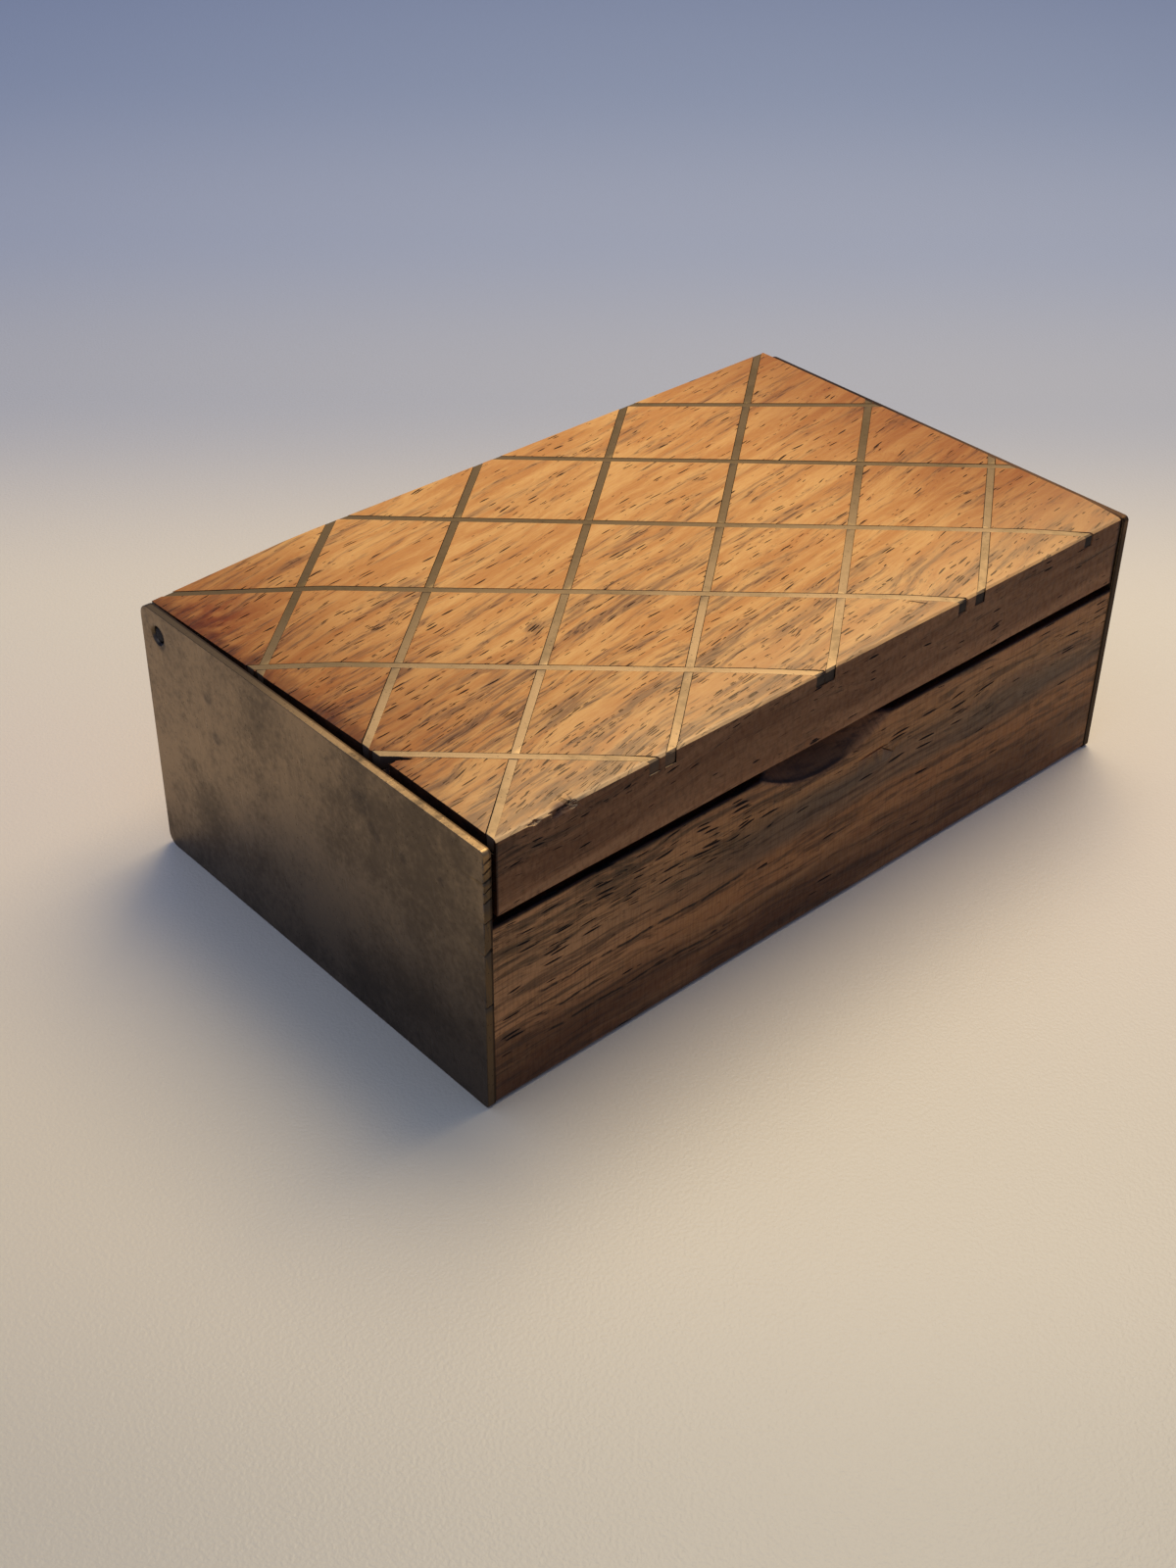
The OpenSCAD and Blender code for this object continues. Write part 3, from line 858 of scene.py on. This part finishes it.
def lid_edge_weight(middle):
    """The lid's outline is well rounded, and the saw cuts for the strips stay crisp."""
    outer = on_outside(middle, LID_LOW, LID_HIGH)
    if outer and near(middle.z, LID_LOW.z):
        return 0.8
    if outer and LID_LOW.z + 1 < middle.z < LID_HIGH.z - 2:
        return 0.4
    if outer:
        return 1.0
    return 0.2 if middle.z > LID_HIGH.z - 1.6 else 0.0


def lid_chips():
    """What has broken out of the lid: its front edge at the left, its left edge, and two scratches."""
    front, top, left = LID_LOW.y, LID_HIGH.z, LID_LOW.x
    along_strip = -41
    # half sizes, place, turn in degrees and seed
    lumps = (
        ((2.1, 0.5, 0.6), (CHIP_X, front, top - 0.5), (30, 0, 3), 3),
        ((0.8, 0.4, 0.4), (-38.9, front + 0.2, top - 0.3), (10, 0, 14), 21),
        ((0.8, 0.3, 0.25), (-43.4, front, top - 0.3), (30, 0, -3), 8),
        ((1.5, 0.9, 2.4), (left + 0.2, -12.3, top), (0, 12, along_strip), 5),
        ((1.7, 0.34, 1.4), (left + 1.1, -13.2, top), (0, 0, along_strip), 6),
        ((4.6, 0.09, 0.16), (12.7, -24.0, top - 0.25), (0, 0, -53), 1),
        ((3.4, 0.2, 1.5), (40.6, -28.0, top - 0.3), (0, 0, -43), 2),
    )
    return [rough_cutter("chip", *lump) for lump in lumps]


LID_FACES = (LID_TOP, LID_SIDE, LID_SLOT, LID_UNDER)


def lid_face(centre, normal):
    """Which of LID_FACES a face of the lid gets."""
    top, side, in_slot, under = range(4)
    if normal.z > 0.55 and centre.z > LID_HIGH.z - 2:
        return top
    if normal.z < -0.55 and centre.z < LID_LOW.z + 0.6:
        return under
    inside = inset(centre) > 0.5 and LID_LOW.z + 0.6 < centre.z < LID_HIGH.z - 0.2
    return in_slot if inside else side


def make_lid():
    lid = ease_edges(cad_mesh("lid_board"), "lid_wood", LID_EASE, lid_edge_weight, LID_GRID)
    move_points(lid, lambda p: fray(lid_settle(p)))
    cut(lid, lid_chips())
    move_points(lid, fill_slot_end)
    obj = finish_piece(lid, "lid", LID_FACES, "lid_board")
    paint_faces(obj, lid_face)


def strip_direction(bm):
    """The level direction along a strip: that of its longest edge."""
    longest = max(bm.edges, key=lambda edge: edge.calc_length())
    along = longest.verts[0].co - longest.verts[1].co
    along.z = 0
    return along.normalized()


def narrow(bm):
    """Takes a little off each side of a strip, more at its foot, and draws its ends in."""
    along = strip_direction(bm)
    across = Vector((-along.y, along.x, 0))
    reach = [v.co.dot(across) for v in bm.verts]
    middle, half = (max(reach) + min(reach)) / 2, (max(reach) - min(reach)) / 2
    for v in bm.verts:
        at_foot = near(v.co.z, LID_HIGH.z - STRIP_DEPTH, 0.05)
        share = (STRIP_GAP + (FOOT_GAP if at_foot else 0.0)) / half
        v.co -= across * (v.co.dot(across) - middle) * share
        for i in (0, 1):
            v.co[i] = min(LID_HIGH[i] - STRIP_INSET, max(LID_LOW[i] + STRIP_INSET, v.co[i]))


def strip_edge_weight(middle):
    """A strip's top edges stay crisp, and its foot is rounded."""
    return 0.2 if middle.z > LID_HIGH.z - STRIP_DEPTH + 0.05 else 1.0


def make_strip(node, seed):
    bm = cad_mesh(node)
    narrow(bm)
    name = node.replace("_strip", "_inlay")
    strip = ease_edges(bm, name, STRIP_EASE, strip_edge_weight, STRIP_GRID, 2)

    def settle(p):
        inward = p.y - LID_LOW.y
        p = fray(lid_settle(p))
        p.z -= 0.02 + 0.02 * noise.noise(Vector((p.x * 0.4, p.y * 0.4, seed)))
        p.z -= 0.15 * smooth(1 - inward / 0.6)
        return p

    move_points(strip, settle)
    obj = finish_piece(strip, "lid", (INLAY, INLAY_ENDS), node)
    paint_faces(obj, lambda centre, normal: int(normal.z < 0.4))


# ---------------------------------------------------------------- the box


def block_edge_weight(middle):
    """The thumb notch's front edge and the outline are rounded most, and the rim less. The ends
    at the plates, the hollow and the bores are rounded least.
    """
    scoop = abs(middle.x) < NOTCH_REACH + 1 and middle.z < BLOCK_HIGH.z - 0.1
    if near(middle.y, BLOCK_LOW.y) and scoop:
        return 1.3
    if near(abs(middle.x), BLOCK_HIGH.x):
        return 0.35
    if on_outside(middle, BLOCK_LOW, BLOCK_HIGH):
        return 1.0
    return 0.6 if near(middle.z, BLOCK_HIGH.z) else 0.3


def block_settle(p):
    """Hand-planed waves, inward only, on the front and back faces."""
    wave = noise.noise(Vector((p.x * 0.05, p.y * 0.05, p.z * 0.09)))
    if p.y < BLOCK_LOW.y + 1:
        p.y += 0.08 + 0.08 * wave
    elif p.y > BLOCK_HIGH.y - 1:
        p.y -= 0.08 + 0.08 * wave
    return p


def block_cracks():
    """The crack beside the thumb notch."""
    front = BLOCK_LOW.y
    # half sizes, place, turn in degrees and seed
    lumps = (
        ((2.2, 0.5, 0.16), (6.5, front + 0.1, 19.0), (0, -4, 0), 2),
        ((1.4, 0.4, 0.07), (8.9, front + 0.1, 18.3), (0, 35, 0), 7),
    )
    return [rough_cutter("crack", *lump, 0.2) for lump in lumps]


def in_hollow(centre, normal):
    """True for the faces that only show when the lid is open."""
    inside_x = BLOCK_LOW.x + HOLLOW_ENDS < centre.x < BLOCK_HIGH.x - HOLLOW_ENDS
    inside_y = BLOCK_LOW.y + HOLLOW_FRONT < centre.y < BLOCK_HIGH.y - HOLLOW_BACK
    rim = near(centre.z, BLOCK_HIGH.z, 0.3) and normal.z > 0.5
    return inside_x and inside_y and centre.z > HOLLOW_FOOT and not rim


BLOCK_FACES = (BLOCK_WOOD, HOLLOW_WOOD, LEVEL_WOOD)


def block_face(centre, normal):
    """Which of BLOCK_FACES a face of the block gets."""
    outer, hollow, level = range(3)
    if abs(normal.z) > 0.8 and centre.z < BLOCK_HIGH.z - 4:
        return level
    return hollow if in_hollow(centre, normal) else outer


def make_block():
    block = ease_edges(cad_mesh("wood_block"), "box_wood", BLOCK_EASE, block_edge_weight, BLOCK_GRID)
    move_points(block, block_settle)
    cut(block, block_cracks())
    obj = finish_piece(block, "box", BLOCK_FACES, "wood_block")
    paint_faces(obj, block_face)


def all_alike(middle):
    """Every edge is rounded to the full width."""
    return 1.0


def make_plate(node, name, nicks):
    """An end plate with a waved outer face. nicks are the cutters for its front edge."""
    outward = -1 if node.startswith("left") else 1
    low, high = box_mm(node)
    face_x = low.x if outward < 0 else high.x
    plate = ease_edges(cad_mesh(node), name, PLATE_EASE, all_alike, PLATE_GRID)

    def settle(p):
        if near(p.x, face_x, 0.03):
            p.x -= outward * (0.05 + 0.05 * noise.noise(Vector((0, p.y * 0.06, p.z * 0.08))))
        return p

    move_points(plate, settle)
    if nicks:
        cut(plate, nicks)
    obj = finish_piece(plate, "box", (PLATE_FACE, PLATE_EDGE), node)
    rim = 0.5

    def on_rim(centre, normal):
        around = any(centre[i] < low[i] + rim or centre[i] > high[i] - rim for i in (1, 2))
        return int(around and abs(normal.x) < 0.8)

    paint_faces(obj, on_rim)


def front_nicks():
    """File and saw marks across the front edge of the left plate."""
    x, y = (PLATE_LOW.x + PLATE_HIGH.x) / 2, PLATE_LOW.y
    # height, half thickness, and turn in degrees
    rows = ((32.3, 0.15, -24), (31.2, 0.13, -30), (30.0, 0.2, -22), (28.8, 0.1, -28),
            (27.5, 0.12, -24), (24.9, 0.07, -15), (21.0, 0.25, -35), (14.0, 0.07, -10))
    return [rough_cutter("nick", (0.75, 0.26, half), (x, y, z), (0, turn, 0), k, 0.2)
            for k, (z, half, turn) in enumerate(rows)]


def make_small(node, name, material, body, width=0.1):
    """A fitting of one material, with its edges rounded to this width."""
    piece = ease_edges(cad_mesh(node), name, width, all_alike, segments=2)
    finish_piece(piece, body, (material,), node)


make_lid()
for number, strip_node in enumerate(RISING + FALLING):
    make_strip(strip_node, number)
make_block()
make_plate("left_end_plate", "left_plate", front_nicks())
make_plate("right_end_plate", "right_plate", [])
for side in ("left", "right"):
    make_small(f"{side}_pivot_pin", f"{side}_pin", DULL_STEEL, "lid", 0.3)
    make_small(f"{side}_plate_dowels", f"{side}_dowels", FITTING_BRASS, "box")
make_small("lid_catch", "catch", FITTING_BRASS, "lid")
make_small("lock_pin", "lock_rod", DULL_STEEL, "lock", 0.2)

# ---------------------------------------------------------------- studio


# Half the width of the floor, and its colours, which paint a pool of light round the box that dims
# to blue-grey far off. They follow a line from the front left to the back right, which starts
# FLOOR_BEFORE in front of the box's middle and is FLOOR_STRETCH long.
FLOOR_HALF = 1500
FLOOR_BEFORE = 200.0
FLOOR_STRETCH = 480.0
FLOOR_COLOURS_AND_LIGHT = (
    (0.19, srgb(216, 200, 166)), (0.27, srgb(230, 211, 174)), (0.42, srgb(236, 216, 184)),
    (0.5, srgb(235, 218, 185)), (0.65, srgb(183, 181, 176)), (0.8, srgb(165, 170, 178)),
    (1.0, srgb(151, 160, 173)))


def make_floor():
    bm = bmesh.new()
    bmesh.ops.create_grid(bm, x_segments=2, y_segments=2, size=FLOOR_HALF)
    floor = to_object(bm, "floor")
    floor.data.transform(Matrix.Scale(MM, 4))
    g = Graph("floor_board")
    x, y, _ = g.split(g.at)
    away = g.plus(g.times(x, 0.67), g.times(y, 0.74))
    place = g.math("DIVIDE", g.plus(away, FLOOR_BEFORE), FLOOR_STRETCH)
    # Painted light: brightest round the box, dimmer and blue-grey far away.
    colour = g.ramp(place, FLOOR_COLOURS_AND_LIGHT)
    grain = g.noise(g.at, 2.4, 2.0)
    floor.data.materials.append(g.done(colour, 0.42, g.bump(grain, 0.06)))


def area_light(name, at, aim, size, power, colour):
    """A soft rectangular lamp. Its place, its aim and its size are in metres."""
    data = bpy.data.lights.new(name, "AREA")
    data.shape = "RECTANGLE"
    data.size, data.size_y = size
    data.energy = power
    data.color = colour
    lamp = bpy.data.objects.new(name, data)
    lamp.location = at
    lamp.rotation_euler = (Vector(aim) - Vector(at)).to_track_quat("-Z", "Y").to_euler()
    bpy.context.scene.collection.objects.link(lamp)


def make_studio():
    """Floor with painted light, a warm key lamp high at the back right, a cool ceiling and sky."""
    make_floor()
    area_light("key", (0.18, 0.07, 0.42), (0.0, 0.0, 0.02), (0.3, 0.3), 1.6, (1.0, 0.87, 0.61))
    area_light("ceiling", (-0.2, 0.1, 1.1), (0.0, 0.0, 0.0), (1.4, 1.4), 3.9, (0.56, 0.71, 1.08))
    world = bpy.data.worlds.new("studio")
    world.use_nodes = True
    sky = world.node_tree.nodes["Background"]
    sky.inputs["Color"].default_value = srgb(160, 184, 255)
    sky.inputs["Strength"].default_value = 0.36
    bpy.context.scene.world = world
    bpy.context.scene.view_settings.view_transform = "Standard"


# The photograph's camera, solved from the box's edges: lens in millimetres for a long edge of
# 36 mm, where it stands, what it looks at, and its roll in degrees.
LONG_EDGE = 36.0
LENS = 48.44
CAMERA_AT = Vector((-147.36, -152.09, 155.7))
CAMERA_AIM = Vector((-19.57, -11.01, 16.6))
CAMERA_ROLL = 0.79


def make_camera():
    """The photograph's view, with no shift."""
    data = bpy.data.cameras.new("camera")
    data.sensor_fit = "VERTICAL"
    data.sensor_height = LONG_EDGE
    data.lens = LENS
    data.clip_start = 0.01
    camera = bpy.data.objects.new("camera", data)
    at = CAMERA_AT * MM
    facing = (CAMERA_AIM * MM - at).to_track_quat("-Z", "Y")
    roll = Matrix.Rotation(math.radians(CAMERA_ROLL), 4, "Z")
    camera.matrix_world = Matrix.Translation(at) @ facing.to_matrix().to_4x4() @ roll
    bpy.context.scene.collection.objects.link(camera)
    bpy.context.scene.camera = camera


make_studio()
make_camera()
